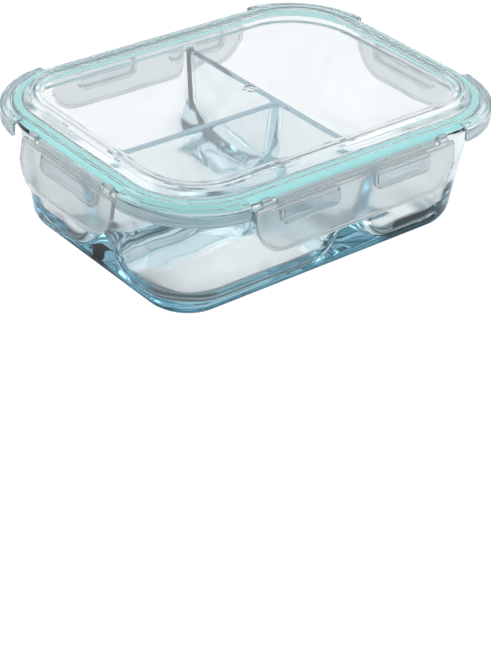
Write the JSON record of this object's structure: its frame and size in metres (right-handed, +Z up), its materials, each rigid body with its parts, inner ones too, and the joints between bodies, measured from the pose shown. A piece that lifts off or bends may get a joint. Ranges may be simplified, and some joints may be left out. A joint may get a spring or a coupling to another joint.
{
  "type": "bento lunch box",
  "caption": "Low rectangular glass lunch box divided into compartments, with a clear clip-on lid, a coloured sealing ring and hinged side latches.",
  "frame": {"origin": "centre of the glass tray's underside, on the surface the box stands on", "axes": "+X along the long side, +Y along the short side, +Z up through the lid"},
  "size_m": [0.2298, 0.1744, 0.075],
  "materials": {
    "glass": "pressed borosilicate glass, smooth and clear with a faint blue-grey tint",
    "lid_plastic": "clear polypropylene, glossy panel, slightly milky at the edges",
    "seal": "soft silicone, satin",
    "latch_plastic": "translucent frosted polypropylene",
    "web_plastic": "thin translucent polypropylene"
  },
  "bodies": {
    "base": {"glass_base": "glass"},
    "lid": {"lid_cover": "lid_plastic", "gasket": "seal", "hinge_web_front": "web_plastic", "hinge_web_back": "web_plastic", "hinge_web_left": "web_plastic", "hinge_web_right": "web_plastic"},
    "latch_front": {"latch_front": "latch_plastic"},
    "latch_back": {"latch_back": "latch_plastic"},
    "latch_left": {"latch_left": "latch_plastic"},
    "latch_right": {"latch_right": "latch_plastic"}
  },
  "joints": [
    {"name": "lid_lift", "type": "slide", "parent": "base", "child": "lid", "axis": [0, 0, 1], "range_m": [0, 0.07]},
    {"name": "latch_front_hinge", "type": "hinge", "parent": "lid", "child": "latch_front", "pos_m": [0, -0.0825, 0.065], "axis": [-1, 0, 0], "range_deg": [-12, 145], "deforming": ["hinge_web_front"]},
    {"name": "latch_right_hinge", "type": "hinge", "parent": "lid", "child": "latch_right", "pos_m": [0.1102, 0, 0.065], "axis": [0, -1, 0], "range_deg": [-12, 145], "deforming": ["hinge_web_right"]},
    {"name": "latch_back_hinge", "type": "hinge", "parent": "lid", "child": "latch_back", "pos_m": [0, 0.0825, 0.065], "axis": [1, 0, 0], "range_deg": [-12, 145], "deforming": ["hinge_web_back"]},
    {"name": "latch_left_hinge", "type": "hinge", "parent": "lid", "child": "latch_left", "pos_m": [-0.1102, 0, 0.065], "axis": [0, 1, 0], "range_deg": [-12, 145], "deforming": ["hinge_web_left"]}
  ]
}
